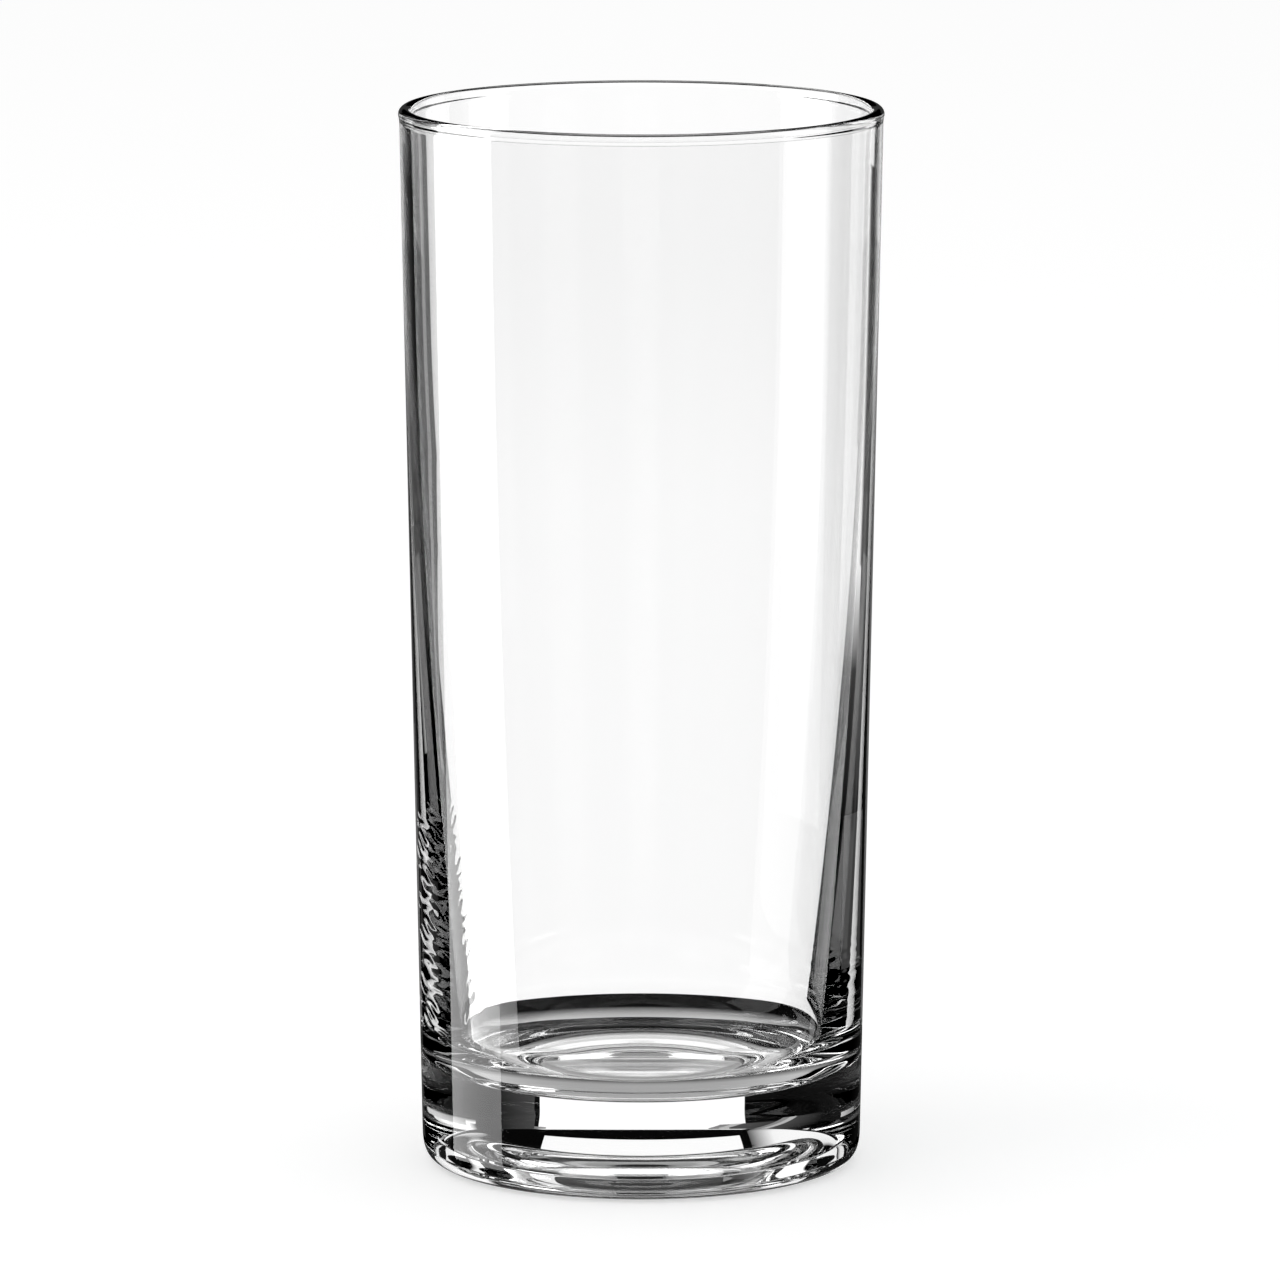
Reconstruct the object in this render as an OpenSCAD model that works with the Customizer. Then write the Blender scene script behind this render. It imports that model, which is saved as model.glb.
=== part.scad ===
// Highball glass: one piece of clear soda-lime glass, pressed and fire-polished.
// The whole form is one turned section: a recess under the base with a rounded lip,
// a flat ring to stand on, a full rounded heel, a straight tapering outside, a rolled
// rim bead, an inner wall that thickens downwards and a rounded corner into the floor.
// The origin is on the axis, in the plane that the foot rests on, with +Z up.

/* [Overall] */
// Height from the table to the top of the rim
height = 150; // [120:1:180]
// Outside diameter across the rim bead
rim_d = 68; // [60:0.5:76]
// Diameter that the straight outside wall would reach at the table
foot_d = 61.94; // [56:0.02:66]

/* [Rim] */
// How far the rolled bead stands out beyond the outside wall
bead_out = 0.15; // [0.05:0.05:0.4]
// How far the bead stands in beyond the inside wall
bead_in = 0.1; // [0.05:0.05:0.4]
// Radius of the hollow neck between the bead and the wall
neck_r = 4; // [2:0.5:8]

/* [Wall] */
// Thickness of the wall where it is thinnest, under the rim
wall = 1.65; // [1.2:0.05:2.4]
// Height at which the wall starts to thicken towards the base
swell_z = 122; // [95:1:140]
// Thickness of the wall at the top of the floor's rounded corner
heavy_wall = 5.2; // [3.5:0.1:7]

/* [Floor] */
// Thickness of the base under the lowest ring of the floor
floor_t = 12.8; // [10:0.1:16]
// Radius of the rounded corner between the wall and the floor
corner_r = 8.4; // [5:0.1:13]
// How far the middle of the floor rises above its lowest ring
floor_rise = 0.5; // [0.2:0.1:2]

/* [Heel] */
// How far the rounded heel reaches in under the glass
heel_w = 4.4; // [2:0.1:6]
// How far the rounded heel reaches up the outside
heel_h = 5; // [3:0.1:8]
// How full the heel's curve is: two is an ellipse, more is squarer
heel_fullness = 3.2; // [2:0.1:4]

/* [Recess under the base] */
// Diameter of the recess where its side meets the table
recess_d = 37.8; // [30:0.2:44]
// Depth of the recess in the middle of its ceiling
recess_h = 4.3; // [2:0.1:6]
// How far the ceiling sags between its edge and its middle
recess_sag = 0.65; // [0.2:0.05:2]
// Draft of the side of the recess, in degrees
recess_draft = 5; // [2:0.5:15]
// Radius of the rounded corner between the side and the ceiling
recess_corner_r = 4.8; // [1:0.1:6]
// Radius of the rounded lip between the side and the ring that the glass stands on
recess_lip_r = 2.6; // [0.5:0.1:3]

/* [Hidden] */
glass_colour = [0.86, 0.92, 0.93, 0.45];
turn_fn = 108;

// Steps along each rounded stretch of the section
ceiling_steps = 4;
recess_steps = 7;
lip_steps = 4;
heel_steps = 9;
bead_steps = 12;
neck_steps = 2;
swell_steps = 9;
corner_steps = 9;
dome_steps = 4;

// Plane geometry on [radius, height] points
function unit(v) = v / norm(v);
function angle_of(v) = atan2(v[1], v[0]);
function on_circle(centre, r, a) = centre + r * [cos(a), sin(a)];
function arc(centre, r, from, to, steps) =
    [for (i = [0:steps]) on_circle(centre, r, from + (to - from) * i / steps)];
// Centre of a circle of radius r, on the side normal of a line, that touches the
// line and, from outside and below, a circle of radius other_r about other
function touching(point, along, normal, r, other, other_r) =
    let (w = point + normal * r - other, t = w * along)
    point + normal * r - along * (t + sqrt(t * t - w * w + pow(r + other_r, 2)));

// Outside wall: a straight line from the table to the middle of the bead
bead_r = (wall + bead_out + bead_in) / 2;
bead_c = [rim_d / 2 - bead_r, height - bead_r];
outer_foot = [foot_d / 2, 0];
outer_top = [rim_d / 2 - bead_out, bead_c[1]];
outer_up = unit(outer_top - outer_foot);
outwards = [outer_up[1], -outer_up[0]];
taper = angle_of([outer_up[1], outer_up[0]]);
function outer_at(z) = outer_foot + outer_up * z / outer_up[1];

// Recess: a ceiling that sags in the middle, a rounded corner, a side with draft
// and a rounded lip
ceiling_r = pow(recess_d / 2, 2) / (2 * recess_sag);
ceiling_c = [0, recess_h + ceiling_r];
side_foot = [recess_d / 2, 0];
side_up = [-sin(recess_draft), cos(recess_draft)];
side_in = [-cos(recess_draft), -sin(recess_draft)];
recess_corner_c = touching(side_foot, side_up, side_in, recess_corner_r,
                           ceiling_c, ceiling_r);
ceiling_end = angle_of(recess_corner_c - ceiling_c);
lip_c = [recess_d / 2 + recess_lip_r * (1 - sin(recess_draft)) / cos(recess_draft),
         recess_lip_r];

// Necks that lead the walls into the bead
outer_neck_c = touching(outer_top, outer_up, outwards, neck_r, bead_c, bead_r);
inner_top = outer_top - outwards * wall;
inner_neck_c = touching(inner_top, outer_up, -outwards, neck_r, bead_c, bead_r);

// Inner wall: parallel to the outside, then one long arc that thickens it
swell_top = outer_at(swell_z) - outwards * wall;
corner_top = outer_at(floor_t + corner_r) - outwards * heavy_wall;
swell_chord = corner_top - swell_top;
swell_r = swell_chord * swell_chord / (2 * (swell_chord * -outwards));
swell_c = swell_top - outwards * swell_r;

// Floor: a shallow dome, met by a rounded corner that also touches the swell
function corner_centre(z) =
    [swell_c[0] + sqrt(pow(swell_r - corner_r, 2) - pow(z - swell_c[1], 2)), z];
corner_c = corner_centre(floor_t + corner_r);
dome_r = (pow(corner_c[0], 2) - 2 * corner_r * floor_rise + pow(floor_rise, 2))
    / (2 * floor_rise);
dome_c = [0, floor_t + floor_rise - dome_r];
corner_side = angle_of(corner_c - swell_c);
corner_floor = angle_of(dome_c - corner_c);

// The half section, from the middle of the underside round to the middle of the floor
function underside() = concat(
    arc(ceiling_c, ceiling_r, -90, ceiling_end, ceiling_steps),
    arc(recess_corner_c, recess_corner_r, ceiling_end + 180, recess_draft, recess_steps),
    arc(lip_c, recess_lip_r, 180 + recess_draft, 270, lip_steps));
// The heel's curve goes from the ring, where its share is 0, up to the outside wall
function heel_at(share) = let (
    a = 90 * share,
    out = heel_w * (1 - pow(sin(a), 2 / heel_fullness)),
    z = heel_h * (1 - pow(cos(a), 2 / heel_fullness)))
    [foot_d / 2 - out + z * tan(taper), z];
function heel() = [for (i = [0:heel_steps]) heel_at(i / heel_steps)];
function rim() = concat(
    arc(outer_neck_c, neck_r, angle_of(-outwards),
        angle_of(bead_c - outer_neck_c), neck_steps),
    arc(bead_c, bead_r, angle_of(outer_neck_c - bead_c),
        angle_of(inner_neck_c - bead_c) + 360, bead_steps),
    arc(inner_neck_c, neck_r, angle_of(bead_c - inner_neck_c),
        angle_of(outwards), neck_steps));
function inner_wall() =
    arc(swell_c, swell_r, -taper, corner_side, swell_steps);
function floor_corner() = concat(
    arc(corner_c, corner_r, corner_side, corner_floor, corner_steps),
    arc(dome_c, dome_r, corner_floor + 180, 90, dome_steps));

module glass_tumbler() {
    color(glass_colour)
        rotate_extrude($fn = turn_fn)
            polygon(concat(underside(), heel(), rim(), inner_wall(), floor_corner()));
}

glass_tumbler();
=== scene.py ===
import math

import bpy
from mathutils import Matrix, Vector


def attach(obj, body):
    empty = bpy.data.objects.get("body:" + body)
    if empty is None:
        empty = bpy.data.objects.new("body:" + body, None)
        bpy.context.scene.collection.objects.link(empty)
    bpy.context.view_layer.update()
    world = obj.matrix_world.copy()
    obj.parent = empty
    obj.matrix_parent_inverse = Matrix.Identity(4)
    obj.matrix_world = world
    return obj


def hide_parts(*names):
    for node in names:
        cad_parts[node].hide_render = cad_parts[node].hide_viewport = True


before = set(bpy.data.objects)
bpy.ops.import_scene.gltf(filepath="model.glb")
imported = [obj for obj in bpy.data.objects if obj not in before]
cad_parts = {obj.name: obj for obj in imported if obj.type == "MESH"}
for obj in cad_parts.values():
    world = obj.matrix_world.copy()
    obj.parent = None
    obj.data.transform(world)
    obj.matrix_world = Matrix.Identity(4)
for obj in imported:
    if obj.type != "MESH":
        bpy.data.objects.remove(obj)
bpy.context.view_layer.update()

MM = 0.001

# Camera, where the photograph was taken from, in millimetres, metres and degrees
SENSOR_WIDTH = 36.0
LENS = 293.79
CLIP_START = 0.05
CLIP_END = 50.0
CAMERA_PLACE = (0.0, -1.452, 0.31726)
CAMERA_LOOKS_DOWN = 9.494
CAMERA_TURN = 0.0072

# Sizes of the glass, in millimetres and degrees, as in the CAD
HEIGHT = 150.0
RIM_R = 34.0
FOOT_R = 30.97
BEAD_OUT = 0.15
BEAD_IN = 0.1
NECK_R = 4.0
WALL = 1.65
SWELL_Z = 122.0
HEAVY_WALL = 5.2
FLOOR_T = 12.8
CORNER_R = 8.4
FLOOR_RISE = 0.5
HEEL_W = 4.4
HEEL_H = 5.0
HEEL_FULLNESS = 3.2
RECESS_R = 18.9
RECESS_H = 4.3
RECESS_SAG = 0.65
RECESS_DRAFT = 5.0
RECESS_CORNER_R = 4.8
RECESS_LIP_R = 2.6

# Steps of the mesh round the glass and along each stretch of its section
TURN_STEPS = 360
CEILING_STEPS = 14
RECESS_STEPS = 16
LIP_STEPS = 10
HEEL_STEPS = 32
STRAIGHT_STEPS = 8
NECK_STEPS = 8
BEAD_STEPS = 28
SWELL_STEPS = 14
WAVY_STEPS = 64
CORNER_STEPS = 48
DOME_STEPS = 16
# The share of the swell above its finer, wavy stretch
WAVY_SHARE = 0.69
# Points of the section nearer than this are one point
MIN_STEP = 1e-4

# Faint rings that the plunger of the press leaves in the rounded corner of the floor
RINGS = 6
RING_HEIGHT = 0.005

# Fine waves that the plunger leaves low on the inner wall: where round the glass they
# are and how far they reach in degrees, their lowest and highest level, their height,
# and their length upwards and around, in millimetres
WAVES = [
    (180.0, 27.0, 16.5, 50.5, 0.038, 1.7, 8.0),
    (0.0, 24.0, 18.5, 34.0, 0.008, 1.5, 14.0),
]
# The waves fade out over these degrees and millimetres at their sides, foot and top
SIDE_FADE = 12.0
FOOT_FADE = 4.0
TOP_FADE = 2.0
# How the waves slant, bend (size, rate around, rate upwards) and break up
WAVE_SLANT = 0.5
WAVE_BENDS = [(0.35, 2.1, 0.9), (0.22, 5.3, -1.7)]
BREAK_DEPTH = 0.4
BREAK_BEND = 0.3
BREAK_RATE = 1.3

# Glass
GLASS_IOR = 1.52
GLASS_SHADOW = (0.93, 0.94, 0.94, 1.0)

# World and floor: how bright they light the scene and how bright they are seen
WHITE = (1.0, 1.0, 1.0, 1.0)
WORLD_LIGHT = 0.72
WORLD_SEEN = 1.0
FLOOR_HALF_SIZE = 6.0
FLOOR_Z = -0.0001
FLOOR_COLOUR = (0.82, 0.82, 0.82, 1.0)
FLOOR_GLOW = 0.36

# The key lamp, in metres and watts
LAMP_PLACE = (-0.7, -0.3, 1.1)
LAMP_SIZE = 0.8
LAMP_POWER = 4.0

# Turns that light may take in the glass
GLASS_BOUNCES = 24
MIRROR_BOUNCES = 8

# Cards: the height of the point that they stand round in metres, the largest step of
# their mesh in degrees, and their distances from that point in metres. A nearer card
# hides those behind it, and the walls show it at another height than the base does.
CARD_CENTRE_Z = 0.075
CARD_STEP = 2.0
BEHIND = 1.1
FAR = 1.0
FAR_FRONT = 0.99
FAR_SIDE = 0.98
NEAR = 0.4
NEAR_FRONT = 0.399
BESIDE = 0.2

# Share of a card's glow that is seen in the mirror of the outside, straight through the
# solid base, through the walls, after some turns inside the glass, and after many. This
# is painted light in the glass: the mirror of the outside is dimmed, the ceiling shows
# only after turns inside it, and after many turns cards glow up to four times as bright,
# as painted reflections
SHARE_LIMITS = (1.5, 2.5, 4.5, 7.5)
SHARES = (0.2, 1.0, 1.0, 0.3, 1.0)
BASE_SHARES = (0.05, 1.0, 1.0, 1.0, 4.0)
MIDDLE_SHARES = (0.2, 1.0, 1.0, 0.3, 4.0)
CEILING_SHARES = (0.0, 0.0, 0.0, 0.8, 4.0)
PANEL_SHARES = (0.3, 1.0, 0.0, 0.0, 0.0)
STRIP_SHARES = (1.0, 0.0, 1.0, 0.3, 1.0)

# The table under the foot, which shows through the base, with its light and shade painted
# in as glow: plain grey painted shade in the middle, lighter behind it under the ring that
# the glass stands on, a painted pool of the light that the base gathers from the backdrop,
# and dark past the foot, a painted shadow
SHADE_STEPS = 96
SHADE_Z = -0.0003
SHADE_R = 38.0
SHADE_MIDDLE = 0.4
PAINTED_LIGHT_RING = 1.0


def make_camera():
    data = bpy.data.cameras.new("camera")
    data.sensor_width = SENSOR_WIDTH
    data.lens = LENS
    data.clip_start = CLIP_START
    data.clip_end = CLIP_END
    camera = bpy.data.objects.new("camera", data)
    bpy.context.scene.collection.objects.link(camera)
    camera.location = CAMERA_PLACE
    tilt = math.radians(90.0 - CAMERA_LOOKS_DOWN)
    camera.rotation_euler = (tilt, 0.0, math.radians(CAMERA_TURN))
    bpy.context.scene.camera = camera
    bpy.context.view_layer.update()
    return camera


camera = make_camera()
bpy.context.scene.view_settings.view_transform = "Standard"


# Plane geometry on (radius, height) points, as in the CAD
def arc(centre, radius, start, end, steps):
    points = []
    for i in range(steps + 1):
        angle = math.radians(start + (end - start) * i / steps)
        points.append(centre + radius * Vector((math.cos(angle), math.sin(angle))))
    return points


def between(start, end):
    return [start.lerp(end, i / STRAIGHT_STEPS) for i in range(1, STRAIGHT_STEPS)]


def angle_of(v):
    return math.degrees(math.atan2(v[1], v[0]))


# Centre of a circle that touches a line and, from outside and below, another circle
def touching(point, along, normal, radius, other, other_radius):
    w = point + normal * radius - other
    t = w.dot(along)
    reach = math.sqrt(t * t - w.dot(w) + (radius + other_radius) ** 2)
    return point + normal * radius - along * (t + reach)


# The straight outside wall, from the table to the middle of the bead
BEAD_R = (WALL + BEAD_OUT + BEAD_IN) / 2
BEAD_C = Vector((RIM_R - BEAD_R, HEIGHT - BEAD_R))
OUTER_FOOT = Vector((FOOT_R, 0.0))
OUTER_TOP = Vector((RIM_R - BEAD_OUT, BEAD_C[1]))
UP = (OUTER_TOP - OUTER_FOOT).normalized()
OUT = Vector((UP[1], -UP[0]))
TAPER = math.degrees(math.atan2(UP[0], UP[1]))


def outer_at(z):
    return OUTER_FOOT + UP * z / UP[1]


# Recess under the base: a ceiling that sags in the middle, a rounded corner, a leaning
# side and a rounded lip
def underside():
    ceiling_r = RECESS_R**2 / (2 * RECESS_SAG)
    ceiling_c = Vector((0.0, RECESS_H + ceiling_r))
    lean = math.radians(RECESS_DRAFT)
    side_up = Vector((-math.sin(lean), math.cos(lean)))
    side_in = Vector((-math.cos(lean), -math.sin(lean)))
    side_foot = Vector((RECESS_R, 0.0))
    corner_c = touching(side_foot, side_up, side_in, RECESS_CORNER_R, ceiling_c, ceiling_r)
    lip_x = RECESS_R + RECESS_LIP_R * (1 - math.sin(lean)) / math.cos(lean)
    lip_c = Vector((lip_x, RECESS_LIP_R))
    end = angle_of(corner_c - ceiling_c)
    points = arc(ceiling_c, ceiling_r, -90, end, CEILING_STEPS)
    points += arc(corner_c, RECESS_CORNER_R, end + 180, RECESS_DRAFT, RECESS_STEPS)
    return points + arc(lip_c, RECESS_LIP_R, 180 + RECESS_DRAFT, 270, LIP_STEPS)


# Heel: a full curve between the foot ring and the wall
def heel():
    lean_out = UP[0] / UP[1]
    power = 2 / HEEL_FULLNESS
    points = []
    for i in range(HEEL_STEPS + 1):
        t = math.pi / 2 * i / HEEL_STEPS
        x = math.sin(t) ** power
        z = HEEL_H * (1 - max(0.0, math.cos(t)) ** power)
        points.append(Vector((FOOT_R - HEEL_W * (1 - x) + z * lean_out, z)))
    return points


# Rim: necks that lead the walls into the rolled bead
def rim():
    outer_c = touching(OUTER_TOP, UP, OUT, NECK_R, BEAD_C, BEAD_R)
    inner_c = touching(OUTER_TOP - OUT * WALL, UP, -OUT, NECK_R, BEAD_C, BEAD_R)
    start = angle_of(outer_c - BEAD_C)
    end = angle_of(inner_c - BEAD_C) + 360
    points = arc(outer_c, NECK_R, angle_of(-OUT), angle_of(BEAD_C - outer_c), NECK_STEPS)
    points += arc(BEAD_C, BEAD_R, start, end, BEAD_STEPS)
    return points + arc(inner_c, NECK_R, angle_of(BEAD_C - inner_c), angle_of(OUT), NECK_STEPS)


# Inside below the parallel wall: one long arc that thickens the wall, the rounded
# corner with its rings, and a shallow dome
def inside(swell_top):
    corner_z = FLOOR_T + CORNER_R
    chord = outer_at(corner_z) - OUT * HEAVY_WALL - swell_top
    swell_r = chord.dot(chord) / (2 * chord.dot(-OUT))
    swell_c = swell_top - OUT * swell_r
    reach = math.sqrt((swell_r - CORNER_R) ** 2 - (corner_z - swell_c[1]) ** 2)
    corner_x = swell_c[0] + reach
    corner_c = Vector((corner_x, corner_z))
    dome_r = (corner_x**2 - 2 * CORNER_R * FLOOR_RISE + FLOOR_RISE**2) / (2 * FLOOR_RISE)
    dome_c = Vector((0.0, FLOOR_T + FLOOR_RISE - dome_r))
    side = angle_of(corner_c - swell_c)
    floor = angle_of(dome_c - corner_c)
    # Finer steps low on the wall, where the waves are
    split = -TAPER + (side + TAPER) * WAVY_SHARE
    points = arc(swell_c, swell_r, -TAPER, split, SWELL_STEPS)
    points += arc(swell_c, swell_r, split, side, WAVY_STEPS)
    for i, point in enumerate(arc(corner_c, CORNER_R, side, floor, CORNER_STEPS)):
        share = i / CORNER_STEPS
        ring = RING_HEIGHT * math.sin(math.pi * share) * math.sin(2 * math.pi * RINGS * share)
        points.append(point + (corner_c - point).normalized() * ring)
    return points + arc(dome_c, dome_r, floor + 180, 90, DOME_STEPS)


# The half section, from the middle of the underside round to the middle of the floor
def half_section():
    swell_top = outer_at(SWELL_Z) - OUT * WALL
    points = underside() + heel()
    rim_points = rim()
    points += between(points[-1], rim_points[0]) + rim_points
    points += between(points[-1], swell_top) + inside(swell_top)
    section = [points[0]]
    for point in points[1:]:
        if (point - section[-1]).length > MIN_STEP:
            section.append(point)
    return section


def ease(share):
    share = max(0.0, min(1.0, share))
    return share * share * (3 - 2 * share)


def wave_at(r, z, angle):
    out_r = FOOT_R + z * (RIM_R - BEAD_OUT - FOOT_R) / HEIGHT
    if z < FLOOR_T or r > out_r - WALL / 2:
        return 0.0
    total = 0.0
    for side, reach, low, high, height, up, around in WAVES:
        turn = (math.degrees(angle) - side + 180.0) % 360.0 - 180.0
        if abs(turn) >= reach or not low < z < high:
            continue
        fade = ease((reach - abs(turn)) / SIDE_FADE) * ease((z - low) / FOOT_FADE)
        fade *= ease((high - z) / TOP_FADE)
        s = math.radians(turn) * r / around
        t = z / up
        bend = sum(size * math.sin(rate * s + climb * t) for size, rate, climb in WAVE_BENDS)
        wave = math.sin(2 * math.pi * (t + WAVE_SLANT * s + bend))
        breaks = math.sin(2 * math.pi * (s + BREAK_BEND * math.sin(BREAK_RATE * t)))
        wave *= 1 - BREAK_DEPTH + BREAK_DEPTH * breaks
        total += height * fade * wave
    return total


def new_object(name, verts, faces):
    mesh = bpy.data.meshes.new(name)
    mesh.from_pydata(verts, [], faces)
    obj = bpy.data.objects.new(name, mesh)
    bpy.context.scene.collection.objects.link(obj)
    return obj


def lathe(name, section):
    verts, faces, rings = [], [], []
    for r, z in section:
        if r < MIN_STEP:
            rings.append([len(verts)])
            verts.append((0.0, 0.0, z * MM))
            continue
        rings.append(range(len(verts), len(verts) + TURN_STEPS))
        for k in range(TURN_STEPS):
            a = 2 * math.pi * k / TURN_STEPS
            reach = (r - wave_at(r, z, a)) * MM
            verts.append((reach * math.cos(a), reach * math.sin(a), z * MM))
    for low, high in zip(rings, rings[1:]):
        for k in range(TURN_STEPS):
            k2 = (k + 1) % TURN_STEPS
            if len(low) == 1:
                faces.append((low[0], high[k2], high[k]))
            elif len(high) == 1:
                faces.append((low[k], low[k2], high[0]))
            else:
                faces.append((low[k], low[k2], high[k2], high[k]))
    obj = new_object(name, verts, faces)
    obj.data.shade_smooth()
    obj.data.validate()
    return obj


# Materials
def new_material(name):
    material = bpy.data.materials.new(name)
    material.use_nodes = True
    tree = material.node_tree
    tree.nodes.clear()
    return material, tree, tree.nodes.new("ShaderNodeOutputMaterial")


def mix_shaders(tree, share, first, second, out):
    mix = tree.nodes.new("ShaderNodeMixShader")
    tree.links.new(share, mix.inputs["Fac"])
    tree.links.new(first, mix.inputs[1])
    tree.links.new(second, mix.inputs[2])
    tree.links.new(mix.outputs["Shader"], out.inputs["Surface"])


# Clear glass whose shadow on the table is pale, as light passes through it
def glass_material():
    material, tree, out = new_material("clear_glass")
    glass = tree.nodes.new("ShaderNodeBsdfPrincipled")
    glass.inputs["Base Color"].default_value = WHITE
    glass.inputs["Roughness"].default_value = 0.0
    glass.inputs["IOR"].default_value = GLASS_IOR
    glass.inputs["Transmission Weight"].default_value = 1.0
    clear = tree.nodes.new("ShaderNodeBsdfTransparent")
    clear.inputs["Color"].default_value = GLASS_SHADOW
    shadow = tree.nodes.new("ShaderNodeLightPath").outputs["Is Shadow Ray"]
    mix_shaders(tree, shadow, glass.outputs["BSDF"], clear.outputs["BSDF"], out)
    return material


# Studio: a white world and floor, with curved cards that only the glass shows
def is_seen(tree):
    path = tree.nodes.new("ShaderNodeLightPath")
    total = path.outputs["Is Camera Ray"]
    for ray in ("Is Glossy Ray", "Is Transmission Ray"):
        total = math_node(tree, "MAXIMUM", total, path.outputs[ray])
    return total


def math_node(tree, operation, first, second):
    node = tree.nodes.new("ShaderNodeMath")
    node.operation = operation
    for socket, value in zip(node.inputs, (first, second)):
        if isinstance(value, float):
            socket.default_value = value
        else:
            tree.links.new(value, socket)
    return node.outputs["Value"]


def white_background(tree, strength):
    node = tree.nodes.new("ShaderNodeBackground")
    node.inputs["Color"].default_value = WHITE
    node.inputs["Strength"].default_value = strength
    return node.outputs["Background"]


def make_world():
    world = bpy.data.worlds.new("studio")
    bpy.context.scene.world = world
    world.use_nodes = True
    tree = world.node_tree
    tree.nodes.clear()
    lit = white_background(tree, WORLD_LIGHT)
    seen = white_background(tree, WORLD_SEEN)
    out = tree.nodes.new("ShaderNodeOutputWorld")
    mix_shaders(tree, is_seen(tree), lit, seen, out)


def make_floor():
    s = FLOOR_HALF_SIZE
    corners = [(-s, -s, 0), (s, -s, 0), (s, s, 0), (-s, s, 0)]
    floor = new_object("floor", corners, [(0, 1, 2, 3)])
    floor.location.z = FLOOR_Z
    material, tree, out = new_material("pale_floor")
    matt = tree.nodes.new("ShaderNodeBsdfDiffuse")
    matt.inputs["Color"].default_value = FLOOR_COLOUR
    glow = tree.nodes.new("ShaderNodeEmission")
    glow.inputs["Strength"].default_value = FLOOR_GLOW
    bright = tree.nodes.new("ShaderNodeAddShader")
    tree.links.new(matt.outputs["BSDF"], bright.inputs[0])
    tree.links.new(glow.outputs["Emission"], bright.inputs[1])
    mix_shaders(tree, is_seen(tree), matt.outputs["BSDF"], bright.outputs["Shader"], out)
    floor.data.materials.append(material)
    floor.visible_transmission = False
    floor.visible_glossy = False


# Painted light by the depth of the ray: the studio is seen in full straight through the
# glass, and less in the mirror of its outside, as through a polarising filter, and less or
# more after turns inside it, as painted reflections
def share_by_depth(tree, shares):
    depth = tree.nodes.new("ShaderNodeLightPath").outputs["Ray Depth"]
    share = shares[0]
    for limit, before, after in zip(SHARE_LIMITS, shares, shares[1:]):
        past = math_node(tree, "GREATER_THAN", depth, limit)
        part = math_node(tree, "MULTIPLY", past, after - before)
        share = math_node(tree, "ADD", part, share)
    return share


# A stage piece that glows by the values at its points, and that only the glass shows
def glowing_object(name, verts, faces, glows, shares=None):
    obj = new_object(name, verts, faces)
    obj.data.attributes.new("glow", "FLOAT", "POINT").data.foreach_set("value", glows)
    material, tree, out = new_material(name)
    light = tree.nodes.new("ShaderNodeEmission")
    glow = tree.nodes.new("ShaderNodeAttribute")
    glow.attribute_name = "glow"
    strength = glow.outputs["Fac"]
    if shares:
        strength = math_node(tree, "MULTIPLY", strength, share_by_depth(tree, shares))
    tree.links.new(strength, light.inputs["Strength"])
    tree.links.new(light.outputs["Emission"], out.inputs["Surface"])
    obj.data.materials.append(material)
    obj.visible_camera = False
    obj.visible_diffuse = False
    obj.visible_shadow = False
    return obj


def blend(first, last, share):
    return first + (last - first) * share


def as_pair(glow):
    return glow if isinstance(glow, tuple) else (glow, glow)


# A curved card round the glass, which keeps its place before the camera. Angles are in
# degrees from straight behind the glass as the camera sees it, with the left side and
# what is below negative. A glow is one number, or one for the left end and one for the
# right. A card whose upper edge has another glow or other ends is given those too.
def card(name, sides, heights, glow, high_glow=None, distance=FAR, high_sides=None,
         shares=SHARES):
    high_sides = high_sides or sides
    low_glow = as_pair(glow)
    high_glow = low_glow if high_glow is None else as_pair(high_glow)
    columns = max(2, round((sides[1] - sides[0]) / CARD_STEP) + 1)
    rows = max(2, round((heights[1] - heights[0]) / CARD_STEP) + 1)
    verts, glows = [], []
    for i in range(columns):
        across = i / (columns - 1)
        low_side = blend(*sides, across)
        high_side = blend(*high_sides, across)
        low = blend(*low_glow, across)
        high = blend(*high_glow, across)
        for j in range(rows):
            rise = j / (rows - 1)
            a = math.radians(blend(low_side, high_side, rise))
            e = math.radians(blend(*heights, rise))
            reach = distance * math.cos(e)
            verts.append((reach * math.sin(a), reach * math.cos(a), distance * math.sin(e)))
            glows.append(blend(low, high, rise))
    faces = []
    for i in range(columns - 1):
        for j in range(rows - 1):
            k = i * rows + j
            faces.append((k, k + rows, k + rows + 1, k + 1))
    obj = glowing_object(name, verts, faces, glows, shares)
    obj.location.z = CARD_CENTRE_Z
    bpy.context.view_layer.update()
    obj.parent = camera
    obj.matrix_parent_inverse = camera.matrix_world.inverted()


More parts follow.
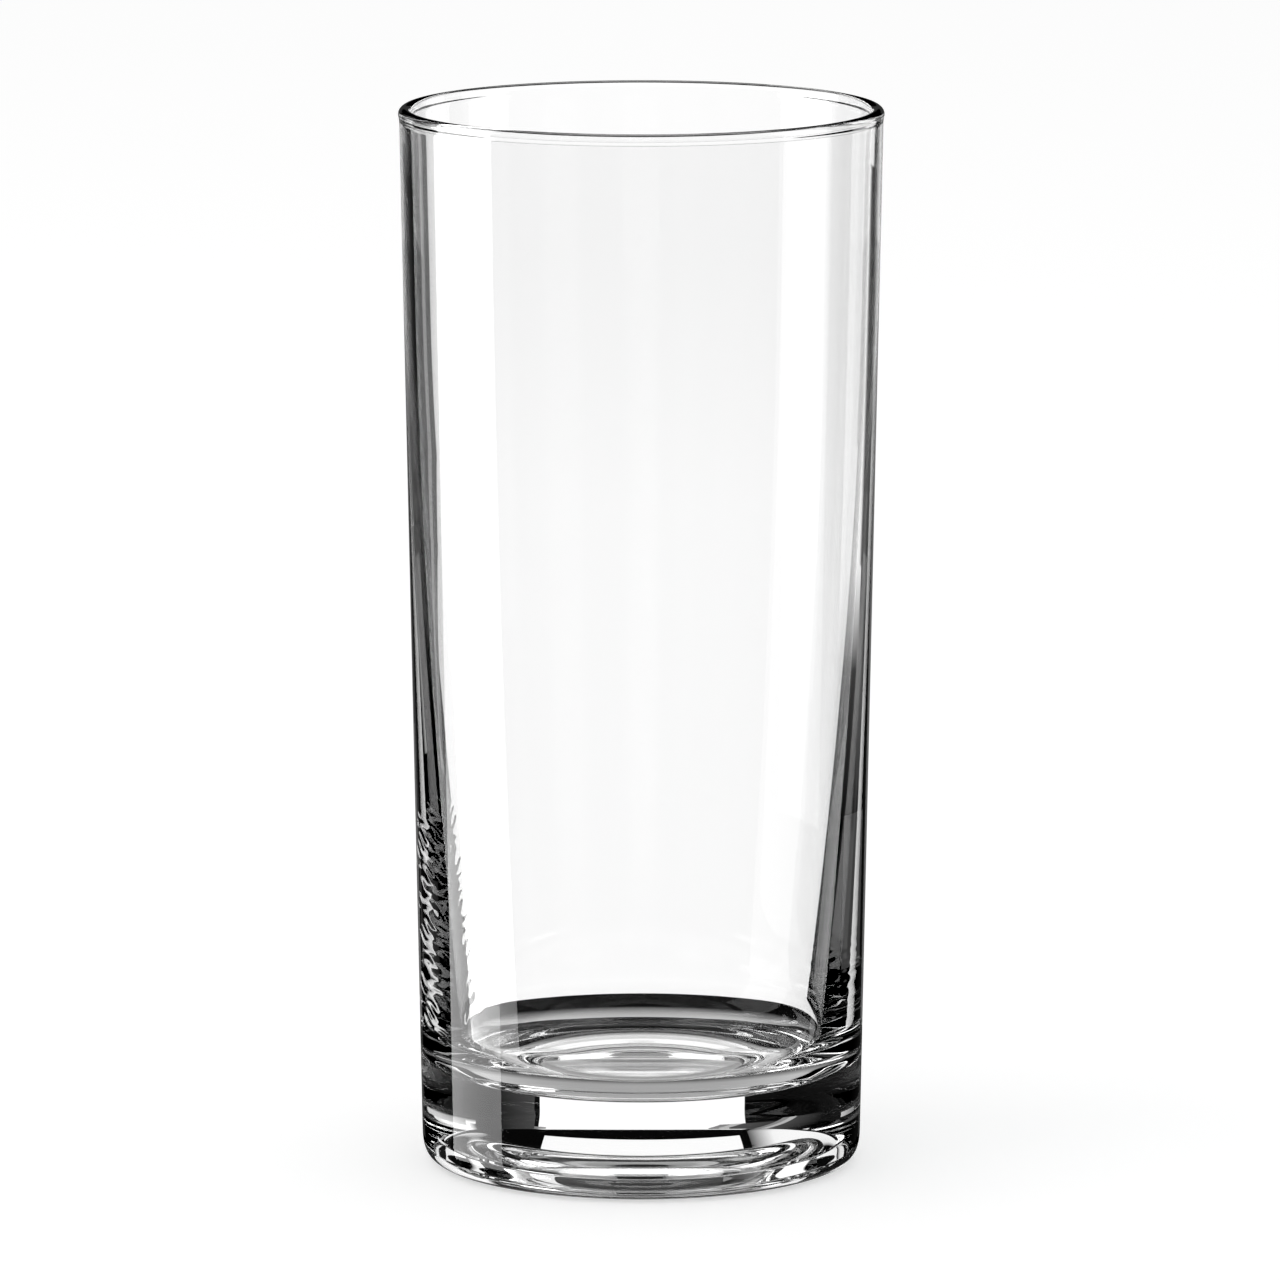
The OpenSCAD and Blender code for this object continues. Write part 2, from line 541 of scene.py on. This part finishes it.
def make_cards():
    # Black all round, behind the other cards
    card("surround", (-180, 180), (-90, 90), 0, distance=BEHIND)

    # The bright backdrop, wider at its foot, and the light from above
    backdrop = (-19, 18.6)
    sweep = (-23, 20)
    card("backdrop_low", (-27, 27), (-31.2, -23), 1.12, high_sides=sweep, shares=BASE_SHARES)
    card("backdrop_sweep", sweep, (-23, -14.8), 1.12, high_sides=backdrop, shares=BASE_SHARES)
    card("backdrop_middle", backdrop, (-14.8, -9), 1.12, shares=MIDDLE_SHARES)
    card("backdrop_upper", backdrop, (-9, -4), 1.12, 1.06, shares=MIDDLE_SHARES)
    card("ceiling", (-180, 180), (44, 75), 0.5, shares=CEILING_SHARES)
    card("backdrop_high", backdrop, (-4, 11.5), 1.06, shares=BASE_SHARES)

    # A dark flag at the left, with a pale band and a grey edge, in three lengths that
    # follow the thickening wall
    dark, band, edge = (0, 0.08), 0.5, 0.25
    card("flag_left", (-36, -15.5), (-8.5, -1), dark, distance=FAR_FRONT)
    card("flag_left_band", (-15.5, -13.5), (-8.5, -1), band, distance=FAR_FRONT)
    card("flag_left_edge", (-13.5, -11.5), (-8.5, -1), edge, distance=FAR_FRONT)
    card("flag_left_turn", (-36, -18.4), (-10.8, -8.5), dark, distance=FAR_FRONT,
         high_sides=(-36, -15.5))
    card("flag_left_turn_band", (-18.4, -16), (-10.8, -8.5), band, distance=FAR_FRONT,
         high_sides=(-15.5, -13.5))
    card("flag_left_turn_edge", (-16, -13.8), (-10.8, -8.5), edge, distance=FAR_FRONT,
         high_sides=(-13.5, -11.5))
    card("flag_left_foot", (-42, -31), (-18, -9.4), (0, 0.06), dark, distance=NEAR,
         high_sides=(-38, -20.3))
    card("flag_left_foot_band", (-31, -28.8), (-18, -9.4), band, distance=NEAR,
         high_sides=(-20.3, -18.1))
    card("flag_left_foot_edge", (-28.8, -26.7), (-18, -9.4), edge, distance=NEAR,
         high_sides=(-18.1, -16))

    # A dark flag at the right
    card("flag_right_edge", (17, 19.5), (-8.5, -1), (0.4, 0.2), distance=FAR_FRONT)
    card("flag_right", (19.5, 31), (-14, 2.5), (0.06, 0), distance=FAR_FRONT)
    card("flag_right_foot", (27, 50), (-22, -14), (0.06, 0.02), (0.06, 0),
         distance=FAR_FRONT, high_sides=(19.5, 31))

    # Soft boxes, and the table round the foot
    card("softbox_left_edge", (-27, -21), (3.5, 25), (1.0, 0.1), distance=FAR_FRONT)
    card("softbox_left", (-38, -27), (3.5, 25), (1.1, 1.0), distance=FAR_FRONT)
    card("table_edge", (-49, 34), (-49, -39.5), 0.65, 0)
    card("table", (-180, 180), (-90, -53), 0.35)
    card("softbox_right_foot", (34, 60), (-15, -11), 0, 1.2, distance=NEAR)
    card("softbox_right_edge", (34, 38), (-11, 3), (0, 1.3), distance=NEAR_FRONT)
    card("softbox_right", (38, 60), (-11, 3), 1.2, distance=NEAR)
    card("softbox_right_top_edge", (30, 33), (3, 30), (0, 1.3), distance=NEAR_FRONT)
    card("softbox_right_top", (33, 60), (3, 30), 1.2, distance=NEAR)

    # Small panels for the base alone
    card("panel_right", (34, 62), (-24, -17), (0.3, 1.1), (0.6, 1.1), distance=BESIDE,
         shares=PANEL_SHARES)
    card("panel_left", (-60, -47), (-25, -20), (0.3, 0.7), distance=BESIDE,
         shares=PANEL_SHARES)

    # Tall strips that mirror in the outside, and a faint front
    card("strip_left", (-102.5, -64), (-48, 40), 3.3, distance=FAR_SIDE, shares=STRIP_SHARES)
    card("strip_right", (79, 107), (-13, 40), 0.9, shares=STRIP_SHARES)
    card("front_left", (-180, -102.5), (-48, 60), 0.1)
    card("front_right", (107, 180), (-48, 60), 0.1)


# A round glowing card just under the foot, for the part of the table that shows through
# the base, with painted shade, a painted pool of light and a painted shadow
def make_table_shade():
    # Radius, glow in front of the middle and glow behind it
    circles = [
        # Painted shade in the middle, a painted pool of light behind it, painted shadow past
        # the foot
        (0.0, SHADE_MIDDLE, SHADE_MIDDLE),
        (RECESS_R, SHADE_MIDDLE, SHADE_MIDDLE),
        (RECESS_R + RECESS_LIP_R, SHADE_MIDDLE, PAINTED_LIGHT_RING),
        (FOOT_R - HEEL_W, SHADE_MIDDLE, PAINTED_LIGHT_RING),
        (FOOT_R, 0.0, 0.0),
        (SHADE_R, 0.0, 0.0),
    ]
    verts, glows, faces = [], [], []
    for radius, front, back in circles:
        reach = radius * MM
        for k in range(SHADE_STEPS):
            a = 2 * math.pi * k / SHADE_STEPS
            verts.append((reach * math.cos(a), reach * math.sin(a), 0.0))
            # The painted light and shade, blended from the front of the disc to the back
            glows.append(blend(front, back, ease(0.5 + 0.5 * math.sin(a))))
    for ring in range(len(circles) - 1):
        low = ring * SHADE_STEPS
        high = low + SHADE_STEPS
        for k in range(SHADE_STEPS):
            k2 = (k + 1) % SHADE_STEPS
            faces.append((low + k, low + k2, high + k2, high + k))
    glowing_object("table_painted_shade_and_light", verts, faces, glows).location.z = SHADE_Z


def make_lamp():
    data = bpy.data.lights.new("key_lamp", "AREA")
    data.shape = "SQUARE"
    data.size = LAMP_SIZE
    data.energy = LAMP_POWER
    lamp = bpy.data.objects.new("key_lamp", data)
    bpy.context.scene.collection.objects.link(lamp)
    lamp.location = LAMP_PLACE
    lamp.rotation_euler = (-Vector(LAMP_PLACE)).to_track_quat("-Z", "Y").to_euler()
    lamp.visible_camera = False
    lamp.visible_glossy = False
    lamp.visible_transmission = False


make_world()
make_floor()
make_cards()
make_table_shade()
make_lamp()

cycles = bpy.context.scene.cycles
cycles.max_bounces = GLASS_BOUNCES
cycles.transmission_bounces = GLASS_BOUNCES
cycles.glossy_bounces = MIRROR_BOUNCES

glass = lathe("glass_body", half_section())
glass.data.materials.append(glass_material())
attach(glass, "root")
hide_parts("glass_tumbler")

bpy.context.view_layer.update()
